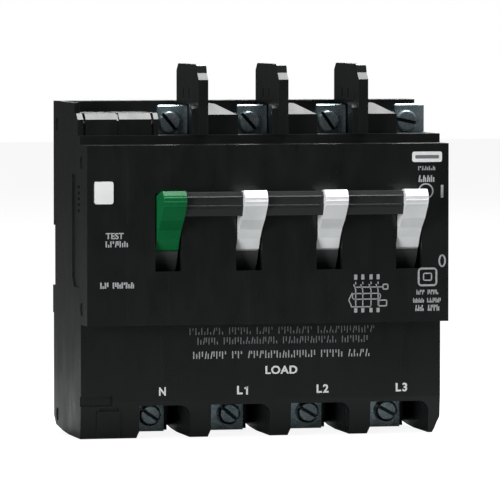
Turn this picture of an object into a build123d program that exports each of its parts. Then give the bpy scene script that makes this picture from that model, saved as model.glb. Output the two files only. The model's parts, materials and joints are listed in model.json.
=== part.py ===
from build123d import *
import math
import os

# Four-pole residual current device, in millimetres.
# X runs to the right, the front faces -Y, Z is up. Depth is measured forward from the back plane, so y = -depth.
# Heights below are measured from the foot of the case; placed() moves the origin to the rail centre line.

# Driving dimensions
MODULE = 13.0
POLE = 2 * MODULE
WIDTH = 9 * MODULE
HEIGHT = 105.4
RAIL_CENTRE = 59.2
LEFT, RIGHT = -WIDTH / 2, WIDTH / 2
POLES = {name: LEFT + POLE * number for number, name in enumerate(("n", "l1", "l2", "l3"), start=1)}
SEAMS = [LEFT, LEFT + MODULE, *POLES.values(), RIGHT]
CASE_NAMES = ["rcd_case_left", "neutral_case_left", "case_n_l1", "case_l1_l2", "case_l2_l3", "case_l3_right"]
SHELF = 95.2
LEDGE_FRONT = 39.6
NOSE_FRONT = 50.0
NOSE_DRAFT = 1.1
NOSE_FOOT, NOSE_TOP = 36.1, 92.4
WALL = 2.2
GAP = 0.1

# Mechanism axes, as depth and height
HANDLE_AXIS = (28.0, 66.5)
HUB_RADIUS = 19.8
CAP_WIDTH = 7.4
ARM_AXIS = (19.0, 56.0)
TRIP_AXIS = (34.0, 44.0)
ARMATURE_AXIS = (14.8, 47.2)
RIVET_AXES = [(5.6, 5.4), (5.6, 98.0), (42.0, 86.9), (42.0, 41.0)]
RIVET_RADIUS, RIVET_HEAD, RIVET_RECESS = 1.3, 2.0, 0.8

# Terminals
LINE_OFFSET, LINE_SCREW_Z = 6.5, 98.8
LOAD_OFFSET, LOAD_SCREW_Z = 1.3, 5.5
HEAD_RADIUS = 3.5
BARRIER_LEFT = 11.4
LINE_BAR_TOP, WIRE_LAND_TOP = 101.6, 100.2
LINE_SLOTS = {"n": 50.0, "l1": 48.0, "l2": 55.0, "l3": 12.0}
LOAD_SLOTS = {"n": 35.0, "l1": 40.0, "l2": 30.0, "l3": 28.0}
WIRE_GROOVE = 1.2
GROOVE_OFFSET = 3.4

# Rail latches
LATCH_WIDTH = 10.0

# Test button
BUTTON_X, BUTTON_Z = -53.2, 77.7
BUTTON_HALF = 3.5


def block(x0, x1, d0, d1, z0, z1):
    """A box between two x positions, two depths and two heights."""
    centre = Pos((x0 + x1) / 2, -(d0 + d1) / 2, (z0 + z1) / 2)
    return centre * Box(x1 - x0, d1 - d0, z1 - z0)


def slab(points, x0, x1):
    """A side profile, given as depth and height points, drawn out from x0 to x1."""
    side = Plane((x0, 0, 0), x_dir=(0, 1, 0), z_dir=(1, 0, 0))
    face = side * Polygon(*[(-depth, height) for depth, height in points], align=None)
    return extrude(face, amount=x1 - x0, dir=(1, 0, 0))


def plank(points, d0, d1):
    """A front outline, given as x and height points, drawn back from depth d1 to d0."""
    front = Plane((0, -d1, 0), x_dir=(1, 0, 0), z_dir=(0, -1, 0))
    return extrude(front * Polygon(*points, align=None), amount=d1 - d0, dir=(0, 1, 0))


def rod_x(x0, x1, depth, height, radius):
    """A cylinder that lies across the case."""
    return Pos((x0 + x1) / 2, -depth, height) * Rot(0, 90, 0) * Cylinder(radius, x1 - x0)


def rod_y(x, height, d0, d1, radius):
    """A cylinder that runs from the back of the case to the front."""
    return Pos(x, -(d0 + d1) / 2, height) * Rot(90, 0, 0) * Cylinder(radius, d1 - d0)


def rod_z(x, depth, z0, z1, radius):
    """An upright cylinder."""
    return Pos(x, -depth, (z0 + z1) / 2) * Cylinder(radius, z1 - z0)


def sector(axis, radius, start, end, x0, x1):
    """A fan about a cross axis, between two angles above the forward direction."""
    steps = 24
    depth, height = axis
    points = [axis]
    for step in range(steps + 1):
        angle = math.radians(start + (end - start) * step / steps)
        points.append((depth + radius * math.cos(angle), height + radius * math.sin(angle)))
    return slab(points, x0, x1)


def coil(turns, pitch, radius, wire, direction):
    """A helical coil of round wire that starts at the origin and runs along a direction."""
    path = Helix(pitch=pitch, height=turns * pitch, radius=radius, direction=direction)
    section = Plane(origin=path @ 0, z_dir=path % 0) * Circle(wire)
    return sweep(section, path=path, is_frenet=True)


def tube(points, radius):
    """A round wire with rounded corners along straight runs between (x, depth, height) points."""
    path = Polyline(*[(x, -depth, height) for x, depth, height in points])
    section = Plane(origin=path @ 0, z_dir=path % 0) * Circle(radius)
    return sweep(section, path=path, transition=Transition.ROUND)


def gather(shapes):
    """One node made of separate solids."""
    return Compound(children=[solid for shape in shapes for solid in shape.solids()])


# Case


def case_outside():
    """The full-width outside of the case, before any cavity."""
    profile = [
        (0, 4.8), (3.2, 2.0), (13.0, 0.8), (22.0, 0.2), (39.3, 0), (40.5, 11.6), (40.5, NOSE_FOOT),
        (NOSE_FRONT, NOSE_FOOT), (NOSE_FRONT, NOSE_TOP), (LEDGE_FRONT, NOSE_TOP), (LEDGE_FRONT, SHELF),
        (9.7, SHELF), (9.7, HEIGHT), (0, HEIGHT),
    ]
    body = slab(profile, LEFT, RIGHT)
    beside_nose = Polygon((LEFT - 1, -40.5), (LEFT, -40.5), (LEFT + NOSE_DRAFT, -NOSE_FRONT - 0.1),
                          (LEFT - 1, -NOSE_FRONT - 0.1), align=None)
    body -= Pos(0, 0, NOSE_FOOT - 1) * extrude(beside_nose, amount=NOSE_TOP - NOSE_FOOT + 2)
    corner = [(RIGHT + 0.1, 5.2), (57.7, 3.4), (56.9, 1.3), (56.1, -0.1), (RIGHT + 0.1, -0.1)]
    return body - plank(corner, -1, 42)


def left_shoulder():
    """The block that closes the top of the residual-current slice, with a shallow groove at each slice joint."""
    outside = [(9, SHELF - 0.2), (9, 102.1), (34.4, 102.1), (36.3, 100.2), (36.3, SHELF - 0.2)]
    block_end = POLES["n"]
    body = slab(outside, LEFT, block_end)
    for joint, deep in ((LEFT + 2.2, 1.2), (LEFT + MODULE, 0.4), (block_end - 1.9, 1.2)):
        band = joint - 0.4, joint + 0.4
        body -= slab(outside, *band) - Pos(0, deep, -deep) * slab(outside, *band)
    return body


def pole_shoulder(centre):
    """The block on the left of each phase terminal; its crest falls away to the right."""
    left, right = centre - 11.4, centre
    base, crest = 101.5, 104.9
    body = slab([(9, SHELF - 0.2), (9, crest), (32.4, crest), (35.4, base), (35.4, SHELF - 0.2)], left, right)
    above = [(centre - 7.0, crest), (right - 0.4, base), (right + 0.5, base), (right + 0.5, 107), (centre - 7.0, 107)]
    return body - plank(above, 8, 37)


def cavities():
    """The inside of each slice, as one solid per slice."""
    profile = [
        (6, 16), (38.3, 16), (38.3, 38.7), (NOSE_FRONT - WALL, 38.7), (NOSE_FRONT - WALL, 89.8),
        (37.4, 89.8), (37.4, 92.8), (6, 92.8),
    ]
    spans = [(-56.4, -45.5), (-43.7, -20.5), (-18.5, 5.5), (7.5, 31.5), (33.5, 56.7)]
    solids = []
    for low, high in spans:
        room = slab(profile, low, high)
        for depth, height in RIVET_AXES:
            room -= rod_x(low - 1, high + 1, depth, height, 2.7)
        solids.append(room)
    return solids


def load_openings():
    """The four terminal wells at the foot, each with a guide rib on the right of its clamp plate."""
    solids = []
    for name, centre in POLES.items():
        left = -39.5 if name == "n" else centre - 9.9
        right = centre + 9.3
        guide = centre + LOAD_OFFSET + 4.9
        well = block(left, right, 8, 37.4, -1, 13.8) - block(guide, guide + 1.0, 7, 16.5, -2, 14)
        mouth = block(left, right, 37, 42, -1, 10.2)
        corner = mouth.edges().filter_by(Axis.Y).group_by(Axis.Z)[-1].sort_by(Axis.X)[-1]
        bevelled = plank([(left + 0.1, -1), (left - 0.9, -1), (left - 0.9, 0), (left + 0.1, 2.3)], 8, 42)
        solids.append(well + fillet(corner, 3.4) + bevelled)
    return solids


def case_cuts():
    """Every other cut in the case."""
    cuts = []
    cuts.append(block(LEFT - 1, RIGHT + 1, -1, 2.2, 46.5, 65.7))
    cuts.append(block(LEFT - 1, RIGHT + 1, 1.1, 2.2, 65.6, 67.0))
    for low in (LEFT, RIGHT - LATCH_WIDTH):
        cuts.append(block(low + 1.1, low + LATCH_WIDTH - 1.1, -1, 2.3, 30, 46.6))
    for depth, height in RIVET_AXES:
        cuts.append(rod_x(LEFT - 1, RIGHT + 1, depth, height, RIVET_RADIUS + 0.05))
    for depth, height in RIVET_AXES:
        cuts.append(rod_x(LEFT - 1, LEFT + RIVET_RECESS, depth, height, RIVET_HEAD + 0.1))
        cuts.append(rod_x(RIGHT - RIVET_RECESS, RIGHT + 1, depth, height, RIVET_HEAD + 0.1))
    for name, centre in POLES.items():
        cuts.append(block(centre - 4.2, centre + 4.2, 47, 51, 52.9, 77.4))
        line = centre + LINE_OFFSET
        cuts.append(block(line - 4.3, line + 4.3, 11.7, 14.3, 92, 96))
        load = centre + LOAD_OFFSET
        cuts.append(block(load - 4.7, load + 4.7, 9.9, 12.6, 13, 17))
        left = centre - 12.4
        cuts.append(rod_x(left, centre + 12.4, *HANDLE_AXIS, 1.55))
        cuts.append(rod_x(left, centre + 12.4, *ARM_AXIS, 1.05))
    cuts.append(rod_x(-46, 57.2, *TRIP_AXIS, 2.06))
    half = BUTTON_HALF + GAP
    cuts.append(block(BUTTON_X - 3.1, BUTTON_X + 3.1, 47, 51, BUTTON_Z - half, BUTTON_Z + half))
    cuts.append(block(LEFT - 1, -48.3, 38.9, 42, 10.2, 13.4))
    cuts.append(block(-52.6, -46.2, 39.4, 42, 8.9, 9.7))
    cuts.append(slab([(28, 50.5), (30.5, 47.5), (39.5, 47.5), (39.5, 83), (28, 83)], LEFT - 1, LEFT + 0.5))
    for mark in range(5):
        cuts.append(block(LEFT - 1, LEFT + 1.0, 34.2, 38.6, 71.2 + 1.85 * mark, 72.1 + 1.85 * mark))
    for centre in list(POLES.values())[:3]:
        face = centre + BARRIER_LEFT + 1.9
        cuts.append(block(face, face + 0.95, 17.9, 34.1, 93.5, 96))
    return cuts


def build_case():
    """The six shells: the whole case, cut at the seams."""
    body = case_outside() + left_shoulder()
    for name, centre in POLES.items():
        if name != "n":
            body += pole_shoulder(centre)
    body += block(LEFT, LEFT + 1.8, 9, 31.5, 101.9, HEIGHT)
    body += slab([(38, 0.3), (40.0, 0.3), (40.9, 8.6), (38, 8.6)], -53.4, -45.9)
    for cut in cavities() + load_openings() + case_cuts():
        body -= cut
    for name, low, high in zip(CASE_NAMES, SEAMS, SEAMS[1:]):
        yield name, body & block(low, high, -5, 60, -5, 120)


def phase_barrier(centre):
    """A plate between two poles, relieved beside the terminal, with a foot in front and a tongue in the shelf."""
    low = centre + BARRIER_LEFT
    high = low + 3.1
    face = low + 1.9
    outline = [
        (12.6, 95.3), (43.1, 95.3), (43.1, 112.6), (41.2, 114.7), (40.6, 117.0), (39.0, 117.4),
        (15.0, 117.4), (12.6, 115.2),
    ]
    plate = slab(outline, low, high)
    top_right = plate.edges().filter_by(Axis.Y).group_by(Axis.Z)[-1].sort_by(Axis.X)[-1]
    plate = fillet(top_right, 1.0) - block(low - 1, face, 12, 29.8, 95, 104.7)
    foot = [(39.0, 95.3), (42.4, 95.3), (42.4, 103.6), (41.5, 104.5), (39.0, 104.5)]
    plate += slab(foot, low - 2.0, low + 0.05)
    plate += block(face + 0.05, high - 0.3, 18, 34, 93.6, 95.5)
    for depth in (22.0, 29.5):
        plate -= block(low - 1, low + 0.4, depth, depth + 1.1, 106.6, 109.6)
    return plate


def case_rivets():
    """Four rivets that hold the shells together."""
    rivets = []
    for depth, height in RIVET_AXES:
        low, high = LEFT + RIVET_RECESS, RIGHT - RIVET_RECESS
        rivet = rod_x(low, high, depth, height, RIVET_RADIUS)
        for start in (low - 0.5, high):
            rivet += rod_x(start, start + 0.5, depth, height, RIVET_HEAD)
        rivets.append(rivet)
    return gather(rivets)


# Handles


def handle_cap(centre):
    """The visible handle, ribbed at its tip, notched for the tie bar and tongued into its hub."""
    outline = [
        (40, 60), (40, 74.2), (46, 75.6), (52.8, 77.4), (56.4, 78.3), (58.1, 78.3), (59.4, 77.0), (59.9, 75.6),
        (59.7, 74.4), (59.1, 73.2), (57.3, 71.1), (55.6, 69.1), (51.8, 65.9), (49.4, 62.9), (47.6, 59.6),
        (45.6, 58.6),
    ]
    half = CAP_WIDTH / 2
    cap = slab(outline, centre - half, centre + half)
    cap -= rod_x(centre - 5, centre + 5, *HANDLE_AXIS, HUB_RADIUS + GAP)
    for depth, height in ((59.55, 76.1), (59.6, 74.9), (59.1, 73.7)):
        cap += rod_x(centre - half + 0.1, centre + half - 0.1, depth, height, 0.45)
    cap += block(centre - 1.5, centre + 1.5, 42, 49.5, 66.5, 73)
    return cap - block(tie_core_left(centre), tie_core_right(centre), 52.55, 56.05, 71.45, 76.55)


def tie_core_left(centre):
    """Left end of the tie bar's hole in a cap; it is blind in the neutral cap."""
    return centre - 2.1 if centre == POLES["n"] else centre - 5


def tie_core_right(centre):
    """Right end of the tie bar's hole in a cap; it is blind in the last cap."""
    return centre + 2.1 if centre == POLES["l3"] else centre + 5


def handle_hubs():
    """The black fan behind each handle, which turns on its pivot pin and closes the slot."""
    hubs = []
    for centre in POLES.values():
        fan = sector(HANDLE_AXIS, HUB_RADIUS, -45, 69, centre - 3.9, centre + 3.9)
        fan += rod_x(centre - 3.9, centre + 3.9, *HANDLE_AXIS, 4.2)
        fan -= rod_x(centre - 5, centre + 5, *HANDLE_AXIS, 1.56)
        fan -= block(centre - 1.55, centre + 1.55, 41.9, 50, 66.4, 73.1)
        hubs.append(fan)
    return gather(hubs)


def handle_tie_bar():
    """The bar that makes the four handles move as one."""
    outline = [(52.4, 70.4), (56.4, 70.4), (57.2, 72.6), (57.2, 76.4), (56.7, 77.8), (50.6, 77.8), (50.6, 76.0)]
    centres = list(POLES.values())
    reach = CAP_WIDTH / 2 + 0.05
    bar = block(centres[0] - 2.0, centres[-1] + 2.0, 52.6, 56.0, 71.5, 76.5)
    for left, right in zip(centres, centres[1:]):
        bar += slab(outline, left + reach, right - reach)
        for height in (73.5, 76.2):
            bar += rod_x(left + reach, right - reach, 57.2, height, 0.3)
    return bar


def handle_pivot_pins():
    """One steel pin in each pole, held in the case walls."""
    return gather([rod_x(c - 12.3, c + 12.3, *HANDLE_AXIS, 1.5) for c in POLES.values()])


def handle_springs():
    """The torsion spring beside each hub, with its two legs."""
    springs = []
    turn = coil(4, 1.1, 2.6, 0.4, (1, 0, 0))
    depth, height = HANDLE_AXIS
    for centre in POLES.values():
        springs.append(Pos(centre + 4.8, -depth, height) * turn)
    return gather(springs)


# Contacts


def contact_arms():
    """The arm in each pole that carries the moving contact."""
    outline = [(16.8, 55), (20.8, 55), (20.8, 60), (19.4, 62), (19.4, 78), (16.6, 78), (16.6, 58)]
    arms = []
    for centre in POLES.values():
        arm = slab(outline, centre - 2, centre + 2) + rod_x(centre - 2, centre + 2, *ARM_AXIS, 2.9)
        arms.append(arm - rod_x(centre - 3, centre + 3, *ARM_AXIS, 1.06))
    return gather(arms)


def arm_pivot_pins():
    """The pin each contact arm turns on."""
    return gather([rod_x(c - 12.3, c + 12.3, *ARM_AXIS, 1.0) for c in POLES.values()])


def line_conductor(centre):
    """From the fixed contact up to the line terminal, with a half-round groove for the wire."""
    screw = centre + LINE_OFFSET
    strip = block(centre - 2.5, centre + 2.5, 11.8, 14.2, 72, 84)
    strip += block(centre - 2.5, screw + 3.8, 11.8, 14.2, 80, 85)
    strip += block(screw - 4.2, screw + 3.8, 11.8, 14.2, 80, 96)
    strip += block(screw - 4.7, screw + 4.7, 11.8, 14.2, SHELF + GAP, WIRE_LAND_TOP)
    strip += block(screw - 2.1, screw + 4.7, 11.8, 14.2, SHELF + GAP, LINE_BAR_TOP)
    strip -= rod_y(screw, LINE_SCREW_Z, 11, 15, 2.05)
    return strip - rod_z(screw - GROOVE_OFFSET, 14.2, 96, 102, WIRE_GROOVE)


def load_conductor(centre):
    """From the trip coil down to the load terminal, with a half-round groove for the wire."""
    screw = centre + LOAD_OFFSET
    bar = block(screw - 4.6, screw + 4.6, 10, 12.5, 2.5, 17.2)
    bar += block(screw - 4.6, screw + 4.6, 10, 20, 16.1, 17.2)
    bar -= rod_y(screw, LOAD_SCREW_Z, 9, 13, 2.05)
    return bar - rod_z(screw + GROOVE_OFFSET, 12.5, 2, 13.6, WIRE_GROOVE)


def arc_plates():
    """The notched steel plates that split the arc."""
    plates = []
    for centre in POLES.values():
        for step in range(7):
            depth = 17.5 + 2.2 * step
            plate = block(centre - 8, centre + 8, depth, depth + 1, 80.5, 91)
            plates.append(plate - block(centre - 2.6, centre + 2.6, depth - 1, depth + 2, 80, 84))
    return gather(plates)


def arc_cheeks():
    """The fibre sides of each arc chute."""
    cheeks = []
    for centre in POLES.values():
        for side in (-9.3, 8.05):
            cheeks.append(block(centre + side, centre + side + 1.25, 16.5, 32, 79.5, 91.8))
    return gather(cheeks)


# Trip unit


def magnet_frame(centre):
    """The steel angle that holds the dashpot tube and carries the armature."""
    frame = block(centre - 5, centre + 5, 14, 15.5, 19.5, 46)
    return frame + block(centre - 5, centre + 5, 14, 30, 19.5, 21)


def dashpot_tube(centre):
    """The sealed oil tube with its pole face."""
    return rod_z(centre, 23, 21.0, 43.5, 3.5) + rod_z(centre, 23, 43.5, 45, 4.5)


def trip_coils():
    """The heavy copper winding round each dashpot tube."""
    winding = coil(9, 2.05, 5.0, 0.9, (0, 0, 1))
    return gather([Pos(centre, -23, 23.0) * winding for centre in POLES.values()])


def armature(centre):
    """The hinged plate that the coil pulls down."""
    plate = block(centre - 4, centre + 4, 14, 30, 46.6, 48)
    plate += rod_x(centre - 4, centre + 4, *ARMATURE_AXIS, 0.85)
    return plate + block(centre + 4, centre + 6.4, 27, 30, 46.6, 48)


def trip_bar():
    """The bar across all poles, with a finger in each slice."""
    bar = rod_x(-54, 57, *TRIP_AXIS, 2.0)
    depth, height = TRIP_AXIS
    bar += block(-52.5, -49.5, depth - 2.0, depth, height, 58.5)
    for centre in POLES.values():
        bar += block(centre + 6, centre + 8, depth - 0.8, depth + 0.8, height, 50.5)
    return bar


def flexible_braids():
    """The braid from each trip coil to its contact arm."""
    braids = []
    for centre in POLES.values():
        path = [(centre + 7.6, 23, 39), (centre + 7.6, 22, 48), (centre + 6, 20, 51.6), (centre - 2, 18.6, 51.6)]
        braids.append(tube(path, 1.1))
    return gather(braids)


# Residual-current slice


def toroid_core():
    """The ring core of the current transformer."""
    return rod_x(-52.1, -47.4, 18.5, 32, 10.5) - rod_x(-53, -47, 18.5, 32, 7)


def toroid_winding():
    """The secondary winding, as three banks wrapped round the core."""
    ring = rod_x(-52.9, -46.6, 18.5, 32, 11.6) - rod_x(-54, -46, 18.5, 32, 6)
    ring -= rod_x(-52.15, -47.35, 18.5, 32, 10.55) - rod_x(-53, -47, 18.5, 32, 6.95)
    banks = []
    for start in (20, 140, 260):
        banks.append(ring & sector((18.5, 32), 16, start, start + 80, -54, -46))
    return gather(banks)


def primary_leads():
    """The four main leads, looped once through the ring."""
    runs = [((14.5, 32.0), 11.0), ((17.0, 35.2), 15.2), ((20.4, 35.2), 20.4), ((22.6, 32.0), 25.0)]
    leads = []
    for (depth, height), exit_depth in runs:
        points = [(-45.8, depth, height), (-54.6, depth, height), (-54.6, exit_depth, 46.5), (-45.8, exit_depth, 46.5)]
        leads.append(tube(points, 1.1))
    return gather(leads)


def circuit_board():
    """The amplifier board."""
    board = block(-48.2, -46.6, 13, 36, 64, 84)
    for height in (66, 82):
        board -= rod_x(-49, -46, 15, height, 1.0)
    return board


def board_components():
    """The chip, capacitor and small parts on the board."""
    parts = [
        block(-50.4, -48.2, 18, 24, 66, 73),
        block(-50.0, -48.2, 27, 31, 66, 69),
        block(-49.6, -48.2, 18, 20, 76, 79),
        block(-49.6, -48.2, 22, 24, 76, 79),
        Pos(-50.4, -30, 77) * Rot(0, 90, 0) * Cylinder(2.6, 4.4),
    ]
    return gather(parts)


def trip_solenoid_coil():
    """The coil that trips the breaker on leakage."""
    body = rod_y(-51, 56, 12, 26, 4.5)
    flanges = block(-55.4, -46.6, 11, 12, 51.6, 60.4) + block(-55.4, -46.6, 26, 27, 51.6, 60.4)
    return body + flanges - rod_y(-51, 56, 10, 28, 1.56)


def trip_solenoid_plunger():
    """The plunger that strikes the trip bar's finger."""
    return rod_y(-51, 56, 13, 28.2, 1.5)


def test_button():
    """The white push button, with its stop flange and stem."""
    key = block(BUTTON_X - 3, BUTTON_X + 3, 47.0, 50.7, BUTTON_Z - BUTTON_HALF, BUTTON_Z + BUTTON_HALF)
    key = fillet(key.edges().filter_by(Axis.Y), 0.7)
    flange = block(-56.2, -49.6, 45.6, 47.7, BUTTON_Z - 4.7, BUTTON_Z + 4.7)
    return key + flange + rod_y(BUTTON_X, BUTTON_Z, 39.5, 46, 1.4)


def test_button_spring():
    """The return spring round the button's stem."""
    return Pos(BUTTON_X, -45.15, BUTTON_Z) * coil(6, 1.2, 2.3, 0.35, (0, 1, 0))


def test_contact_leaf():
    """The brass leaf that the button's stem presses, bent over at its foot."""
    leaf = block(-55.6, -50.6, 36.8, 37.4, 68, 83)
    return leaf + block(-55.6, -50.6, 34.5, 37.4, 68, 68.6)


def test_resistor():
    """The resistor in the test circuit, with its leads."""
    return rod_z(-54.3, 33, 71, 79, 1.2) + rod_z(-54.3, 33, 66, 83, 0.35)


# Terminals


def terminal_screw(x, height, seat, tip, slot_angle):
    """A slotted cheese-head screw; seat is the depth of the face under its head."""
    head = rod_y(x, height, seat, seat + 2.3, HEAD_RADIUS)
    front = head.edges().filter_by(GeomType.CIRCLE).sort_by(Axis.Y)[0]
    head = fillet(front, 0.8)
    slot = Pos(x, -(seat + 2.3), height) * Rot(0, slot_angle, 0) * Box(8, 3.2, 1.1)
    return head - slot + rod_y(x, height, tip, seat + 0.2, 2.0)


def line_clamp_plate(centre):
    """The clamp plate under a line screw, its lower edge turned back."""
    left, right = centre + 3.1, centre + 12.7
    outline = [
        (17.4, 95.3), (22.0, 95.3), (22.0, 103.9), (21.6, 104.3), (20.4, 104.3), (20.4, 96.5), (17.4, 96.5),
    ]
    plate = slab(outline, left, right)
    corners = plate.edges().filter_by(Axis.Y).group_by(Axis.Z)[-1]
    plate = fillet(corners, 0.6)
    return plate - rod_y(centre + LINE_OFFSET, LINE_SCREW_Z, 17, 23, 2.2)


def load_clamp_plate(name, centre):
    """The clamp plate under a load screw."""
    screw = centre + LOAD_OFFSET
    left = screw - (4.0 if name == "n" else 6.6)
    plate = block(left, screw + 4.8, 15.4, 17.0, 0.2, 13.2)
    return plate - rod_y(screw, LOAD_SCREW_Z, 15, 18, 2.2)


# Rail fixing


def rail_latch(low):
    """The sliding latch behind the lower rail lip: a slider in its pocket and a finger pull outside."""
    high = low + LATCH_WIDTH
    pull = block(low, high, -1.2, -0.05, 37.6, 46.5)
    slider = block(low + 1.2, high - 1.2, -0.2, 2.2, 37.6, 46.5)
    return pull + slider + block(low + 1.2, high - 1.2, 0.0, 1.0, 46.4, 52.9)


def rail_latch_springs():
    """The spring under each latch."""
    spring = coil(5, 1.3, 0.72, 0.32, (0, 0, 1))
    return gather([Pos(x, -1.15, 30.45) * spring for x in (LEFT + 5.0, RIGHT - 5.0)])


def nodes():
    """Every piece with its name."""
    yield from build_case()
    for number, centre in enumerate(list(POLES.values())[:3], start=1):
        yield f"phase_barrier_{number}", phase_barrier(centre)
    for name, centre in POLES.items():
        yield f"handle_cap_{name}", handle_cap(centre)
        yield f"armature_{name}", armature(centre)
        line_x, load_x = centre + LINE_OFFSET, centre + LOAD_OFFSET
        yield f"line_screw_{name}", terminal_screw(line_x, LINE_SCREW_Z, 22.0, 10.2, LINE_SLOTS[name])
        yield f"load_screw_{name}", terminal_screw(load_x, LOAD_SCREW_Z, 17.0, 8.6, LOAD_SLOTS[name])
    centres = POLES.values()
    yield "handle_hubs", handle_hubs()
    yield "handle_tie_bar", handle_tie_bar()
    yield "handle_pivot_pins", handle_pivot_pins()
    yield "handle_springs", handle_springs()
    yield "contact_arms", contact_arms()
    yield "moving_contact_tips", gather([rod_y(c, 75.5, 15.3, 16.6, 2.0) for c in centres])
    yield "fixed_contact_tips", gather([rod_y(c, 75.5, 14.2, 15.27, 2.0) for c in centres])
    yield "arm_pivot_pins", arm_pivot_pins()
    yield "line_conductors", gather([line_conductor(c) for c in centres])
    yield "load_conductors", gather([load_conductor(c) for c in centres])
    yield "arc_chute_plates", arc_plates()
    yield "arc_chute_cheeks", arc_cheeks()
    yield "magnet_frames", gather([magnet_frame(c) for c in centres])
    yield "dashpot_tubes", gather([dashpot_tube(c) for c in centres])
    yield "trip_coils", trip_coils()
    yield "trip_bar", trip_bar()
    yield "flexible_braids", flexible_braids()
    yield "toroid_core", toroid_core()
    yield "toroid_winding", toroid_winding()
    yield "primary_leads", primary_leads()
    yield "circuit_board", circuit_board()
    yield "board_components", board_components()
    yield "trip_solenoid_coil", trip_solenoid_coil()
    yield "trip_solenoid_plunger", trip_solenoid_plunger()
    yield "test_button", test_button()
    yield "test_button_spring", test_button_spring()
    yield "test_contact_leaf", test_contact_leaf()
    yield "test_resistor", test_resistor()
    yield "line_clamp_plates", gather([line_clamp_plate(c) for c in centres])
    yield "load_clamp_plates", gather([load_clamp_plate(n, c) for n, c in POLES.items()])
    yield "case_rivets", case_rivets()
    yield "rail_latch_left", rail_latch(LEFT)
    yield "rail_latch_right", rail_latch(RIGHT - LATCH_WIDTH)
    yield "rail_latch_springs", rail_latch_springs()


def placed(shape):
    """Moves a finished piece so that the origin lies on the rail centre line."""
    return Pos(0, 0, -RAIL_CENTRE) * shape


os.makedirs("parts", exist_ok=True)
for node_name, shape in nodes():
    export_step(placed(shape), f"parts/{node_name}.step")
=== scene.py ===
import json
import math
import random

import bmesh
import bpy
from mathutils import Matrix, Vector


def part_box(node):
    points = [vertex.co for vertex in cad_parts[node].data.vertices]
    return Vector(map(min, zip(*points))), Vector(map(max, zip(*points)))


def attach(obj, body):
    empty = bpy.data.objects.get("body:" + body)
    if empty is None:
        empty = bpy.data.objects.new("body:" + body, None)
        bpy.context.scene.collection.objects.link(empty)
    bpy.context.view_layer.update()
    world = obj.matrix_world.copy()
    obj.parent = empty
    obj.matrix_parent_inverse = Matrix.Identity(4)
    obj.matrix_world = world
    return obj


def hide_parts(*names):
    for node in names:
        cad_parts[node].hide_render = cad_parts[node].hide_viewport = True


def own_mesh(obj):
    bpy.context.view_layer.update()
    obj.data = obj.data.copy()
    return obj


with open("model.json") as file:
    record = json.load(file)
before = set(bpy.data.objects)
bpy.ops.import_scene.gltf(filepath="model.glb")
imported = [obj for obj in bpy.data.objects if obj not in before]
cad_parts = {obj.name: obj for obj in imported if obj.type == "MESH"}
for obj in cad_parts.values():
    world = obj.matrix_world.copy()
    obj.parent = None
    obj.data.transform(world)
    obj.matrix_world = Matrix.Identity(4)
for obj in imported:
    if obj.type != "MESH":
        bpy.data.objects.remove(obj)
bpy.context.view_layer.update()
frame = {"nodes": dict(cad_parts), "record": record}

random.seed(7)

MM = 0.001
NODES = frame["nodes"]

# Driving places, read from the frame. Lengths below are in millimetres, except where a comment says metres.
SHELL_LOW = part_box("case_n_l1")[0]
FOOT = SHELL_LOW[2]                    # height of the case's foot in the frame, in metres
FRONT = -SHELL_LOW[1] / MM             # depth of the front plate, forward of the back plane
LOWER = FRONT - 9.5                    # depth of the lower face, which is set back from the plate
SHELL_FROM_POLE = {"n": "case_n_l1", "l1": "case_l1_l2", "l2": "case_l2_l3", "l3": "case_l3_right"}
POLES = {pole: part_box(shell)[0][0] / MM for pole, shell in SHELL_FROM_POLE.items()}

# Sockets of the Mix node when it mixes colours.
FACTOR = 0
FIRST_COLOUR = 6
SECOND_COLOUR = 7
MIXED_COLOUR = 2


def at(x, depth, height):
    """A point from millimetres: x, depth forward of the back plane, height above the foot."""
    return Vector((x * MM, -depth * MM, height * MM + FOOT))


# Materials

def new_material(name):
    """A node material, with its tree and its main shader."""
    material = bpy.data.materials.new(name)
    material.use_nodes = True
    tree = material.node_tree
    shader = tree.nodes["Principled BSDF"]
    return material, tree, shader


def add(tree, kind, **values):
    """Adds a node, and sets its inputs or its own properties by name."""
    node = tree.nodes.new(kind)
    for key, value in values.items():
        if key in node.inputs:
            node.inputs[key].default_value = value
        else:
            setattr(node, key, value)
    return node


def noise(tree, scale, detail, stretch=(1.0, 1.0, 1.0)):
    """Noise in object space, in cycles per metre."""
    place = add(tree, "ShaderNodeTexCoord")
    mapping = add(tree, "ShaderNodeMapping")
    mapping.inputs["Scale"].default_value = stretch
    tree.links.new(place.outputs["Object"], mapping.inputs["Vector"])
    field = add(tree, "ShaderNodeTexNoise", Scale=scale, Detail=detail)
    tree.links.new(mapping.outputs["Vector"], field.inputs["Vector"])
    return field


def ramp(tree, source, low, high, low_value, high_value):
    """Maps a value between low and high to the range from low_value to high_value."""
    node = add(tree, "ShaderNodeMapRange")
    node.inputs["From Min"].default_value = low
    node.inputs["From Max"].default_value = high
    node.inputs["To Min"].default_value = low_value
    node.inputs["To Max"].default_value = high_value
    tree.links.new(source, node.inputs["Value"])
    return node.outputs["Result"]


def mix_colour(tree, factor, first, second):
    """A mix of two colours, by a number or by the output of another node."""
    node = add(tree, "ShaderNodeMix", data_type="RGBA")
    node.inputs[FIRST_COLOUR].default_value = (*first, 1.0)
    node.inputs[SECOND_COLOUR].default_value = (*second, 1.0)
    if isinstance(factor, float):
        node.inputs[FACTOR].default_value = factor
    else:
        tree.links.new(factor, node.inputs[FACTOR])
    return node


def add_relief(tree, shader, height, strength, distance=0.2 * MM):
    """Makes a shader bumpy by a height field."""
    bump = add(tree, "ShaderNodeBump", Strength=strength)
    bump.inputs["Distance"].default_value = distance
    tree.links.new(height, bump.inputs["Height"])
    tree.links.new(bump.outputs["Normal"], shader.inputs["Normal"])


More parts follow.
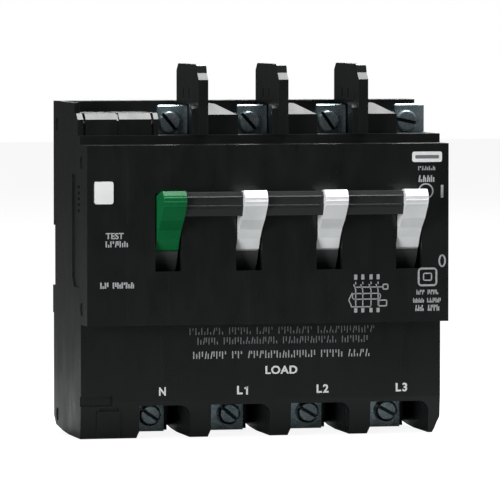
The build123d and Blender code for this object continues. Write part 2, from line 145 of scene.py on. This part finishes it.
def edge_mask(tree, radius):
    """One on worn edges, zero on flats, broken up by noise."""
    bevel = add(tree, "ShaderNodeBevel", samples=4)
    bevel.inputs["Radius"].default_value = radius
    geometry = add(tree, "ShaderNodeNewGeometry")
    dot = add(tree, "ShaderNodeVectorMath", operation="DOT_PRODUCT")
    tree.links.new(bevel.outputs["Normal"], dot.inputs[0])
    tree.links.new(geometry.outputs["Normal"], dot.inputs[1])
    edge = ramp(tree, dot.outputs["Value"], 0.995, 0.9, 0.0, 1.0)
    broken = ramp(tree, noise(tree, 900, 3).outputs["Fac"], 0.45, 0.6, 0.15, 1.0)
    both = add(tree, "ShaderNodeMath", operation="MULTIPLY")
    tree.links.new(edge, both.inputs[0])
    tree.links.new(broken, both.inputs[1])
    return both.outputs["Value"]


def plastic(name, colour, roughness, worn, grain=0.03, grain_scale=2600, specular=0.5):
    """Moulded plastic: cloudy colour, flow marks in the gloss, a fine grain and rubbed edges."""
    material, tree, shader = new_material(name)
    cloud = noise(tree, 60, 3)
    lighter = tuple(min(1.0, c * 1.18 + 0.0008) for c in colour)
    darker = tuple(c * 0.86 for c in colour)
    body = mix_colour(tree, ramp(tree, cloud.outputs["Fac"], 0.3, 0.7, 0.0, 1.0), darker, lighter)
    rubbed = mix_colour(tree, 0.0, colour, worn)
    tree.links.new(body.outputs[MIXED_COLOUR], rubbed.inputs[FIRST_COLOUR])
    weak = add(tree, "ShaderNodeMath", operation="MULTIPLY")
    weak.inputs[1].default_value = 0.5
    tree.links.new(edge_mask(tree, 0.4 * MM), weak.inputs[0])
    tree.links.new(weak.outputs["Value"], rubbed.inputs[FACTOR])
    tree.links.new(rubbed.outputs[MIXED_COLOUR], shader.inputs["Base Color"])
    flow = noise(tree, 180, 5, (1.0, 1.0, 0.35))
    gloss = ramp(tree, flow.outputs["Fac"], 0.3, 0.7, roughness - 0.05, roughness + 0.08)
    tree.links.new(gloss, shader.inputs["Roughness"])
    shader.inputs["Specular IOR Level"].default_value = specular
    add_relief(tree, shader, noise(tree, grain_scale, 3).outputs["Fac"], grain)
    return material


def shaded_creases(tree, colour, reach, depth):
    """Paints shade into a colour where the piece's own surfaces stand close, in slots and creases."""
    crease = add(tree, "ShaderNodeAmbientOcclusion", samples=8, only_local=True)
    crease.inputs["Distance"].default_value = reach
    closeness = ramp(tree, crease.outputs["AO"], 0.55, 0.95, depth, 0.0)
    crease_shade = mix_colour(tree, closeness, (0, 0, 0), (0.004, 0.005, 0.006))
    tree.links.new(colour, crease_shade.inputs[FIRST_COLOUR])
    return crease_shade.outputs[MIXED_COLOUR]


def metal(name, colour, roughness, stretch=(1.0, 1.0, 1.0), tint=None, metallic=1.0):
    """Metal with a lay in its finish, a cloudy tint, duller spots and painted shade in its slots."""
    material, tree, shader = new_material(name)
    shader.inputs["Metallic"].default_value = metallic
    tint = tint or tuple(c * 0.75 for c in colour)
    cloud = noise(tree, 260, 4)
    body = mix_colour(tree, ramp(tree, cloud.outputs["Fac"], 0.35, 0.68, 0.0, 1.0), colour, tint)
    dark = mix_colour(tree, 0.0, colour, tuple(c * 0.35 for c in colour))
    tree.links.new(body.outputs[MIXED_COLOUR], dark.inputs[FIRST_COLOUR])
    stain = noise(tree, 700, 2)
    tree.links.new(ramp(tree, stain.outputs["Fac"], 0.6, 0.75, 0.0, 0.3), dark.inputs[FACTOR])
    # Painted shade: the colour turns near black where the piece's surfaces stand close, as in the screw
    # slots.
    shade_darkened = shaded_creases(tree, dark.outputs[MIXED_COLOUR], reach=1.5 * MM, depth=0.95)
    tree.links.new(shade_darkened, shader.inputs["Base Color"])
    lay = noise(tree, 1500, 5, stretch).outputs["Fac"]
    gloss = ramp(tree, lay, 0.3, 0.7, roughness - 0.06, roughness + 0.12)
    tree.links.new(gloss, shader.inputs["Roughness"])
    add_relief(tree, shader, lay, 0.06)
    return material


def ink(name, colour):
    """Pad-printed ink, thin in places."""
    material, tree, shader = new_material(name)
    thin = noise(tree, 5000, 3).outputs["Fac"]
    faded = tuple(c * 0.45 for c in colour)
    body = mix_colour(tree, ramp(tree, thin, 0.42, 0.72, 0.0, 0.35), colour, faded)
    tree.links.new(body.outputs[MIXED_COLOUR], shader.inputs["Base Color"])
    shader.inputs["Roughness"].default_value = 0.6
    add_relief(tree, shader, thin, strength=0.08, distance=0.1 * MM)
    return material


# Plastics: colour, roughness, worn colour, grain. Metals: colour, roughness, lay, tint, share of metal.
MATERIALS = {
    "black_moulding": plastic("black_moulding", (0.0046, 0.0050, 0.0050), 0.3, (0.025, 0.026, 0.027), 0.05),
    "black_handle": plastic("black_handle", (0.012, 0.0125, 0.0125), 0.45, (0.05, 0.05, 0.052), 0.05),
    # The hubs' copy, far lighter than the other black plastics, is painted light for the hubs deep in the
    # shaded handle slots.
    "hub_lightened_moulding": plastic("hub_lightened_moulding", (0.055, 0.056, 0.057), 0.5, (0.08, 0.08, 0.08), 0.05),
    "green_handle": plastic("green_handle", (0.002, 0.135, 0.038), 0.42, (0.01, 0.22, 0.08), specular=0.16),
    "white_handle": plastic("white_handle", (0.89, 0.92, 0.94), 0.4, (0.93, 0.94, 0.94), 0.03),
    "white_button": plastic("white_button", (0.90, 0.91, 0.90), 0.35, (0.95, 0.95, 0.95), 0.02),
    "zinc_steel": metal("zinc_steel", (0.50, 0.60, 0.63), 0.27, (1.0, 1.0, 4.0), (0.30, 0.40, 0.45), 0.86),
    "black_steel": metal("black_steel", (0.07, 0.07, 0.072), 0.42, (1.0, 3.0, 1.0), (0.04, 0.04, 0.042)),
    "bare_steel": metal("bare_steel", (0.52, 0.52, 0.53), 0.3, (1.0, 4.0, 1.0)),
    "copper": metal("copper", (0.78, 0.36, 0.22), 0.32, (1.0, 1.0, 5.0), (0.55, 0.24, 0.13)),
    "brass": metal("brass", (0.80, 0.60, 0.26), 0.3, (1.0, 1.0, 4.0), (0.62, 0.44, 0.18)),
    "silver_contact": metal("silver_contact", (0.85, 0.84, 0.80), 0.25),
    "enamel_copper": metal("enamel_copper", (0.48, 0.13, 0.05), 0.28, (6.0, 1.0, 1.0), (0.36, 0.09, 0.03)),
    "fibre": plastic("fibre", (0.24, 0.09, 0.045), 0.75, (0.32, 0.16, 0.09), 0.3, 1200, 0.3),
    "core_casing": plastic("core_casing", (0.05, 0.06, 0.085), 0.55, (0.1, 0.11, 0.14), 0.1),
    "wire_cover": plastic("wire_cover", (0.02, 0.06, 0.35), 0.45, (0.06, 0.12, 0.45), 0.04),
    "board": plastic("board", (0.01, 0.11, 0.03), 0.35, (0.2, 0.2, 0.08), 0.15, 1800),
    "component": plastic("component", (0.02, 0.02, 0.021), 0.5, (0.06, 0.06, 0.06), 0.1),
    "resistor_body": plastic("resistor_body", (0.5, 0.33, 0.18), 0.5, (0.6, 0.42, 0.25), 0.08),
}
# Nodes given a lighter copy of their material: painted light that stands in for light reaching deep into
# the handle slots.
LIGHTENED_NODES = {"handle_hubs": "hub_lightened_moulding"}
# Width of the soft edge that catches light, in millimetres, by material slot.
SOFT_EDGES = {
    "black_moulding": 0.3,
    "black_handle": 0.25,
    "green_handle": 0.45,
    "white_handle": 0.45,
    "white_button": 0.25,
    "zinc_steel": 0.15,
}
WHITE_INK = ink("white_ink", (0.86, 0.87, 0.87))
GREY_INK = ink("grey_ink", (0.17, 0.18, 0.185))
PALE_INK = ink("pale_ink", (0.42, 0.43, 0.44))


def dress_frame():
    """Gives every CAD node its material, and soft edges where light catches them."""
    slots = {part["node"]: part["material_slot"] for part in frame["record"]["subparts"]}
    for name, node in NODES.items():
        material = MATERIALS[LIGHTENED_NODES.get(name, slots[name])]
        node.data.materials.clear()
        node.data.materials.append(material)
        if slots[name] in SOFT_EDGES:
            bevel = node.modifiers.new("soft_edges", "BEVEL")
            bevel.width = SOFT_EDGES[slots[name]] * MM
            bevel.segments = 3
            bevel.limit_method = "ANGLE"
            bevel.angle_limit = math.radians(38)
            bevel.harden_normals = True
            bevel.use_clamp_overlap = True


def piece(name, body, material):
    """Turns a bmesh into a piece that is fixed to the case."""
    mesh = bpy.data.meshes.new(name)
    body.to_mesh(mesh)
    body.free()
    mesh.materials.append(material)
    thing = bpy.data.objects.new(name, mesh)
    bpy.context.collection.objects.link(thing)
    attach(thing, "case")
    return thing


# Printed marks: x and height above the foot are in millimetres, and a depth is the plane a mark lies on.

SIZE_FROM_HEIGHT = 1.38        # font size that gives a capital letter a height of one
LETTER_HALF = 0.03             # half a letter's thickness
LETTER_LIFT = 0.02             # how far the middle of a letter stands off the plane
INK_TOP = 0.05                 # how far other marks stand off the plane
SECOND_INK_TOP = 0.08          # the same for a mark printed over another
INK_ROOT = 0.02                # how far marks reach into the plane, so that no gap shows


def letter_mesh(body, text, height, x, z, depth, spacing=1.0, width=1.0, weight=0.0):
    """Adds a word to a bmesh, centred on x and z, lying just proud of the plane at a depth."""
    curve = bpy.data.curves.new("letters", "FONT")
    curve.body = text
    curve.align_x = "CENTER"
    curve.align_y = "CENTER"
    curve.size = height * SIZE_FROM_HEIGHT * MM
    curve.space_character = spacing
    curve.offset = weight * MM
    curve.extrude = LETTER_HALF * MM
    word = bpy.data.objects.new("letters", curve)
    bpy.context.collection.objects.link(word)
    bpy.context.view_layer.update()
    mesh = word.evaluated_get(bpy.context.evaluated_depsgraph_get()).to_mesh()
    upright = Matrix.Translation(at(x, depth + LETTER_LIFT, z)) @ Matrix.Rotation(math.radians(90), 4, "X")
    copy = mesh.copy()
    copy.transform(upright @ Matrix.Diagonal((width, 1.0, 1.0, 1.0)))
    body.from_mesh(copy)
    bpy.data.meshes.remove(copy)
    bpy.data.objects.remove(word)


def stroke(body, x0, z0, x1, z1, width, depth):
    """Adds a thin printed line between two points on the plane at a depth."""
    start, end = Vector((x0, 0, z0)), Vector((x1, 0, z1))
    run = end - start
    middle = (start + end) / 2
    place = Matrix.Translation(at(middle.x, depth + (INK_TOP - INK_ROOT) / 2, middle.z))
    place = place @ Matrix.Rotation(-math.atan2(run.z, run.x), 4, "Y")
    place = place @ Matrix.Diagonal((run.length * MM, (INK_TOP + INK_ROOT) * MM, width * MM, 1.0))
    bmesh.ops.create_cube(body, size=1.0, matrix=place)


def bar(body, x0, x1, z0, z1, depth):
    """Adds a filled rectangle of ink."""
    middle = (z0 + z1) / 2
    stroke(body, x0, middle, x1, middle, z1 - z0, depth)


def loop(body, points, width, depth, closed=True):
    """Adds a line of ink through points."""
    ends = points[1:] + points[:1] if closed else points[1:]
    for (x0, z0), (x1, z1) in zip(points, ends):
        stroke(body, x0, z0, x1, z1, width, depth)


def oval(x, z, half_width, half_height):
    """Points round an ellipse."""
    steps = 24
    turns = [2 * math.pi * step / steps for step in range(steps)]
    return [(x + half_width * math.cos(turn), z + half_height * math.sin(turn)) for turn in turns]


def rounded(x0, x1, z0, z1, radius):
    """Points round a rectangle with rounded corners."""
    points = []
    left, right, low, high = x0 + radius, x1 - radius, z0 + radius, z1 - radius
    for x, z, start in ((right, high, 0), (left, high, 90), (left, low, 180), (right, low, 270)):
        for step in range(5):
            turn = math.radians(start + 22.5 * step)
            points.append((x + radius * math.cos(turn), z + radius * math.sin(turn)))
    return points


def filled(body, points, depth, top):
    """Adds a patch of ink inside an outline, standing off its plane by top."""
    corners = [body.verts.new(at(x, depth + top, z)) for x, z in points]
    body.faces.new(corners)
    base = [body.verts.new(at(x, depth - INK_ROOT, z)) for x, z in points]
    for here in range(len(corners)):
        body.faces.new((corners[here - 1], base[here - 1], base[here], corners[here]))


def greeked(body, x0, x1, z0, z1, depth, words, weight):
    """A line of stand-in text: word-sized groups of short upright and leaning ticks that spell nothing."""
    tall = z1 - z0
    gap = 0.62 * tall
    cell = (x1 - x0 - gap * (len(words) - 1)) / sum(words)
    x = x0
    for word in words:
        for letter in range(word):
            left = x + (letter + 0.14) * cell
            lean = random.choice((0.0, 0.0, 0.22)) * cell
            stroke(body, left, z0, left + lean, z1, weight, depth)
            low, high = random.choice(((0.0, 0.42), (0.58, 1.0), (0.0, 0.7), (0.3, 1.0)))
            right = left + 0.52 * cell
            stroke(body, right, z0 + low * tall, right, z0 + high * tall, weight, depth)
        x += word * cell + gap


def numeral_one(body, x, z, height, width, depth):
    """The figure one, as a stem with a flag."""
    stem = x + 0.12 * height
    top = z + height / 2
    stroke(body, stem, top - height, stem, top, width, depth)
    flag_end = (x - 0.2 * height, top - 0.27 * height)
    flag_root = (x + 0.15 * height, top - 0.06 * height)
    stroke(body, *flag_end, *flag_root, width * 0.85, depth)


def terminal_names():
    """Pole names over the load screws, and the word LOAD."""
    height, row = 2.6, 14.5
    body = bmesh.new()
    for name, centre in POLES.items():
        if name == "l1":
            letter_mesh(body, "L", height, centre - 0.8, row, LOWER, width=1.08, weight=0.13)
            numeral_one(body, centre + 1.35, row, height, 0.62, LOWER)
        else:
            label, middle = name.upper(), centre + 0.25
            width = 0.88 if name == "n" else 1.05
            letter_mesh(body, label, height, middle, row, LOWER, spacing=1.2, width=width, weight=0.11)
    letter_mesh(body, "LOAD", 2.5, 6.3, 20.7, LOWER, spacing=1.08, width=1.08, weight=0.1)
    piece("print_terminal_names", body, WHITE_INK)


def instructions():
    """Two dim lines of stand-in text across the lower face, and a brighter one under them."""
    body = bmesh.new()
    greeked(body, -23.6, 37.2, 32.3, 34.5, LOWER, (6, 4, 3, 6, 10), 0.32)
    greeked(body, -21.0, 35.0, 29.2, 31.4, LOWER, (4, 10, 10, 5), 0.32)
    piece("print_small_lines", body, GREY_INK)
    body = bmesh.new()
    greeked(body, -22.4, 35.6, 24.7, 27.0, LOWER, (6, 2, 12, 4, 4), 0.36)
    piece("print_bright_line", body, PALE_INK)


def test_marks():
    """The word TEST under the button, with stand-in lines below it."""
    body = bmesh.new()
    letter_mesh(body, "TEST", 1.9, -49.7, 64.1, FRONT, weight=0.07)
    greeked(body, -52.6, -45.2, 60.7, 62.6, FRONT, (5,), 0.42)
    greeked(body, -54.3, -43.3, 47.8, 49.7, FRONT, (2, 5), 0.5)
    piece("print_test", body, PALE_INK)


def plaque():
    """A blank rating plaque with a plain stripe."""
    body = bmesh.new()
    filled(body, rounded(46.5, 56.3, 86.5, 89.8, 0.7), FRONT, INK_TOP)
    piece("print_plaque", body, WHITE_INK)
    body = bmesh.new()
    filled(body, rounded(47.5, 55.3, 87.6, 88.7, 0.4), FRONT, SECOND_INK_TOP)
    piece("print_plaque_stripe", body, GREY_INK)


def rating_marks():
    """Stand-in rating lines, a plain ring, the two switch positions and a plain double frame."""
    body = bmesh.new()
    greeked(body, 48.5, 54.3, 83.9, 85.2, FRONT, (5,), 0.3)
    greeked(body, 48.6, 54.0, 80.2, 82.3, FRONT, (4,), 0.45)
    loop(body, oval(51.0, 77.3, 2.3, 2.3), 0.45, FRONT)
    bar(body, 55.9, 56.75, 75.2, 79.2, FRONT)
    loop(body, oval(56.4, 55.2, 0.95, 1.75), 0.55, FRONT)
    loop(body, rounded(48.7, 54.5, 47.5, 52.8, 0.9), 0.6, FRONT)
    loop(body, rounded(50.3, 52.9, 49.1, 51.3, 0.4), 0.4, FRONT)
    greeked(body, 48.0, 55.3, 44.6, 46.1, FRONT, (3, 4), 0.3)
    greeked(body, 46.9, 56.1, 42.0, 43.5, FRONT, (4, 5), 0.3)
    greeked(body, 47.6, 55.6, 39.4, 41.3, FRONT, (3, 4), 0.36)
    piece("print_ratings", body, PALE_INK)


def circuit_diagram():
    """A plain four-pole circuit: switches with a link, a ring round the conductors and a trip box."""
    body = bmesh.new()
    thin, thick = 0.34, 0.4
    columns = (28.1, 30.4, 33.1, 35.4)
    half_pad = 0.5
    hinge, blade_top, link = 46.4, 48.1, 47.2
    for x in columns:
        bar(body, x - half_pad, x + half_pad, 49.6, 51.2, FRONT)
        stroke(body, x, 48.9, x, blade_top, thin, FRONT)
        stroke(body, x - 0.7, blade_top, x, hinge, thin, FRONT)
        stroke(body, x, hinge, x, 41.3, thin, FRONT)
        bar(body, x - half_pad, x + half_pad, 39.2, 40.6, FRONT)
    stroke(body, columns[0] - 0.4, link, 36.9, link, thin, FRONT)
    loop(body, rounded(37.0, 38.6, 46.5, 48.0, 0.2), thick, FRONT)
    loop(body, rounded(27.0, 36.2, 43.4, 45.2, 0.8), thin, FRONT)
    test_wire = [(27.0, 45.4), (25.8, 43.2), (26.6, 41.6), (26.6, 41.0), (33.0, 41.0)]
    loop(body, test_wire, thin, FRONT, closed=False)
    loop(body, rounded(35.6, 38.2, 41.2, 43.0, 0.2), thick, FRONT)
    piece("print_circuit", body, PALE_INK)


def printed_marks():
    """Every mark on the front, kept generic."""
    terminal_names()
    instructions()
    test_marks()
    plaque()
    rating_marks()
    circuit_diagram()


# Springs split into pieces of their own

def closing_spring(name, node, side):
    """One spring of a node, split off as its own piece and fixed to the case.

    Side is -1 for a spring left of the middle, and 1 for one right of it.
    """
    body = bmesh.new()
    body.from_mesh(NODES[node].data)
    bmesh.ops.delete(body, geom=[point for point in body.verts if point.co.x * side < 0], context="VERTS")
    spring = piece(name, body, MATERIALS["bare_steel"])
    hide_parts(node)
    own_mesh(spring)


def closing_springs():
    """The springs behind the test button and under the two rail latches."""
    closing_spring("test_button_coil", "test_button_spring", -1)
    closing_spring("rail_latch_coil_left", "rail_latch_springs", -1)
    closing_spring("rail_latch_coil_right", "rail_latch_springs", 1)


# Stage, in metres

FLOOR_HALF = 3.0
FLOOR_GAP = 0.2 * MM                   # the floor lies this far under the foot
FLOOR_NEAR = (0.24, 0.25, 0.25)        # reflectance round the object
FLOOR_FAR = (0.09, 0.09, 0.09)
NEAR_ENDS, FAR_STARTS = 0.12, 0.4
FLOOR_GLOW = 0.9                       # what the camera sees on top of the reflected light
HORIZON, ZENITH = 0.055, 0.5           # light of the room, at the horizon and overhead


def choose_shader(tree, share, first, second):
    """The first shader where share is zero, the second where it is one."""
    choice = add(tree, "ShaderNodeMixShader")
    tree.links.new(share, choice.inputs[0])
    tree.links.new(first.outputs[0], choice.inputs[1])
    tree.links.new(second.outputs[0], choice.inputs[2])
    return choice


def floor_paper():
    """Pale paper that is white to the camera, dim in reflections and clear from below."""
    material, tree, shader = new_material("floor_paper")
    place = add(tree, "ShaderNodeTexCoord")
    away = add(tree, "ShaderNodeVectorMath", operation="LENGTH")
    tree.links.new(place.outputs["Object"], away.inputs[0])
    nearness = ramp(tree, away.outputs["Value"], NEAR_ENDS, FAR_STARTS, 1.0, 0.0)
    shade = mix_colour(tree, nearness, FLOOR_FAR, FLOOR_NEAR)
    tree.links.new(shade.outputs[MIXED_COLOUR], shader.inputs["Base Color"])
    shader.inputs["Roughness"].default_value = 0.95
    shader.inputs["Specular IOR Level"].default_value = 0.0
    glow = add(tree, "ShaderNodeEmission", Color=(1, 1, 1, 1), Strength=FLOOR_GLOW)
    bright = add(tree, "ShaderNodeAddShader")
    tree.links.new(glow.outputs[0], bright.inputs[0])
    tree.links.new(shader.outputs[0], bright.inputs[1])
    path = add(tree, "ShaderNodeLightPath")
    above = choose_shader(tree, path.outputs["Is Camera Ray"], shader, bright)
    side = add(tree, "ShaderNodeNewGeometry")
    clear = add(tree, "ShaderNodeBsdfTransparent")
    both_sides = choose_shader(tree, side.outputs["Backfacing"], above, clear)
    tree.links.new(both_sides.outputs[0], tree.nodes["Material Output"].inputs["Surface"])
    return material


def studio():
    """The floor under the object."""
    body = bmesh.new()
    bmesh.ops.create_grid(body, x_segments=1, y_segments=1, size=FLOOR_HALF)
    mesh = bpy.data.meshes.new("floor")
    body.to_mesh(mesh)
    body.free()
    mesh.materials.append(floor_paper())
    floor = bpy.data.objects.new("floor", mesh)
    floor.location = (0, 0, FOOT - FLOOR_GAP)
    bpy.context.collection.objects.link(floor)


def soft_box(name, place, target, width, height, glow):
    """A rectangular light of a given radiance, turned towards a target."""
    data = bpy.data.lights.new(name, "AREA")
    data.shape = "RECTANGLE"
    data.size = width
    data.size_y = height
    data.energy = glow * math.pi * width * height
    lamp = bpy.data.objects.new(name, data)
    lamp.location = place
    aim = Vector(target) - Vector(place)
    lamp.rotation_euler = aim.to_track_quat("-Z", "Y").to_euler()
    bpy.context.collection.objects.link(lamp)


def surroundings():
    """White behind the object for the camera; a dim room with a brighter ceiling for everything else."""
    world = bpy.data.worlds.new("studio")
    world.use_nodes = True
    tree = world.node_tree
    place = add(tree, "ShaderNodeTexCoord")
    split = add(tree, "ShaderNodeSeparateXYZ")
    tree.links.new(place.outputs["Generated"], split.inputs[0])
    room = tree.nodes["Background"]
    overhead = ramp(tree, split.outputs["Z"], 0.1, 0.9, HORIZON, ZENITH)
    tree.links.new(overhead, room.inputs["Strength"])
    room.inputs["Color"].default_value = (0.97, 0.99, 1.0, 1)
    white = add(tree, "ShaderNodeBackground", Color=(1, 1, 1, 1), Strength=1.0)
    path = add(tree, "ShaderNodeLightPath")
    sky = choose_shader(tree, path.outputs["Is Camera Ray"], room, white)
    tree.links.new(sky.outputs[0], tree.nodes["World Output"].inputs["Surface"])
    bpy.context.scene.world = world


def lights():
    """A soft box overhead, one like a window at the front left, and a weaker one behind."""
    soft_box("ceiling", (0.28, 0.0, 1.05), (0.08, -0.02, 0), width=0.8, height=0.62, glow=12.5)
    soft_box("window", (-1.35, -1.15, 0.2), (0, -0.03, 0), width=0.8, height=0.8, glow=14.0)
    soft_box("back_soft", (0.5, 1.3, 0.9), (0, 0, 0), width=0.7, height=0.5, glow=9.0)
    bpy.context.scene.view_settings.view_transform = "Standard"


def camera():
    """A long lens from the left and a little above."""
    data = bpy.data.cameras.new("camera")
    data.lens = 403.2
    data.sensor_width = 36
    data.clip_end = 20
    viewpoint = bpy.data.objects.new("camera", data)
    viewpoint.location = (-0.4305, -1.7518, 0.1461 + FOOT)
    aim = Vector((0.2416, 0.9691, -0.0494))
    viewpoint.rotation_euler = aim.to_track_quat("-Z", "Y").to_euler()
    bpy.context.collection.objects.link(viewpoint)
    bpy.context.scene.camera = viewpoint


dress_frame()
closing_springs()
studio()
surroundings()
lights()
camera()
printed_marks()

bpy.context.view_layer.update()
